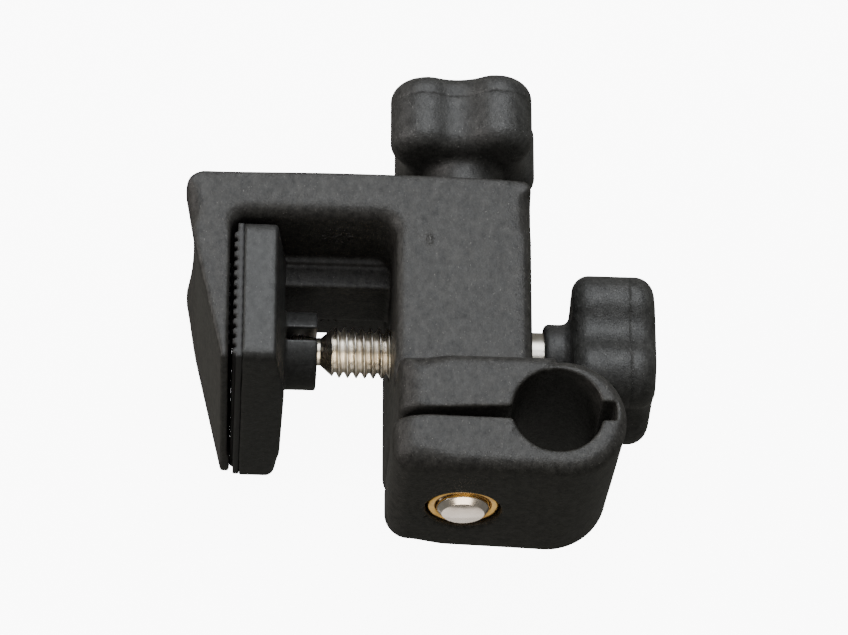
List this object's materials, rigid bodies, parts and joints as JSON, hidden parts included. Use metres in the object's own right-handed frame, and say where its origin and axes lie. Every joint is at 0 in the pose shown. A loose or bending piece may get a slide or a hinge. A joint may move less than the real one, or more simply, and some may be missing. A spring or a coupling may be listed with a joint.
{
  "type": "super clamp",
  "caption": "C-frame screw clamp with a sliding ribbed pressure pad on a knobbed spindle, and a split spigot socket squeezed by a second knob",
  "frame": {"origin": "centre of the spigot bore, on its axis, half way along its length", "axes": "+Z along the spigot bore, away from the frame's flat back; +Y from the boss towards the arm and the top knob; +X from the fixed jaw towards the spindle knob"},
  "size_m": [0.0884, 0.0861, 0.0569],
  "materials": {
    "frame_nylon": "fine matt grain, glass-filled nylon",
    "pad_nylon": "fine matt grain, glass-filled nylon",
    "knob_nylon": "satin, glass-filled nylon",
    "grip_rubber": "ribbed, matt",
    "plated_steel": "bright nickel plate",
    "brass": "turned, bright"
  },
  "bodies": {
    "frame": {"clamp_body": "frame_nylon", "fixed_jaw_liner": "grip_rubber", "spindle_bush": "brass", "hub_thrust_washer": "plated_steel"},
    "pad": {"pressure_pad": "pad_nylon", "pressure_pad_liner": "grip_rubber", "thrust_disc": "plated_steel"},
    "spindle": {"spindle_screw": "plated_steel", "spindle_knob": "knob_nylon", "spindle_knob_cap": "knob_nylon", "spindle_knob_washer": "plated_steel", "spindle_knob_nut": "plated_steel"},
    "clamp_screw": {"clamp_bolt": "plated_steel", "bolt_knob": "knob_nylon", "bolt_knob_cap": "knob_nylon", "bolt_knob_washer": "plated_steel"},
    "nut": {"clamp_nut": "brass", "nut_washer": "plated_steel"},
    "flap": {"clamp_flap": "frame_nylon"}
  },
  "joints": [
    {"name": "spindle_turn", "type": "hinge", "parent": "pad", "child": "spindle", "pos_m": [-0.0452, 0.0278, -0.01625], "axis": [1, 0, 0], "range_deg": [0, 2790]},
    {"name": "pad_slide", "type": "slide", "parent": "frame", "child": "pad", "axis": [1, 0, 0], "range_m": [-0.0002, 0.0126]},
    {"name": "clamp_screw_turn", "type": "hinge", "parent": "frame", "child": "clamp_screw", "pos_m": [-0.0158, 0.05294, -0.00095], "axis": [0, 1, 0], "range_deg": [-128, 340]},
    {"name": "nut_slide", "type": "slide", "parent": "frame", "child": "nut", "axis": [0, 1, 0], "range_m": [-0.0016, 0.0006]},
    {"name": "flap_hinge", "type": "hinge", "parent": "frame", "child": "flap", "pos_m": [0.01115, -0.0009, 0], "axis": [0, 0, 1], "range_deg": [-1.25, 3.25]}
  ],
  "couplings": [
    {"joint": "pad_slide", "follows": "spindle_turn", "m_per_rad": 0.00025266},
    {"joint": "nut_slide", "follows": "clamp_screw_turn", "m_per_rad": -0.00025266},
    {"joint": "flap_hinge", "follows": "clamp_screw_turn", "ratio": 0.0093751}
  ]
}
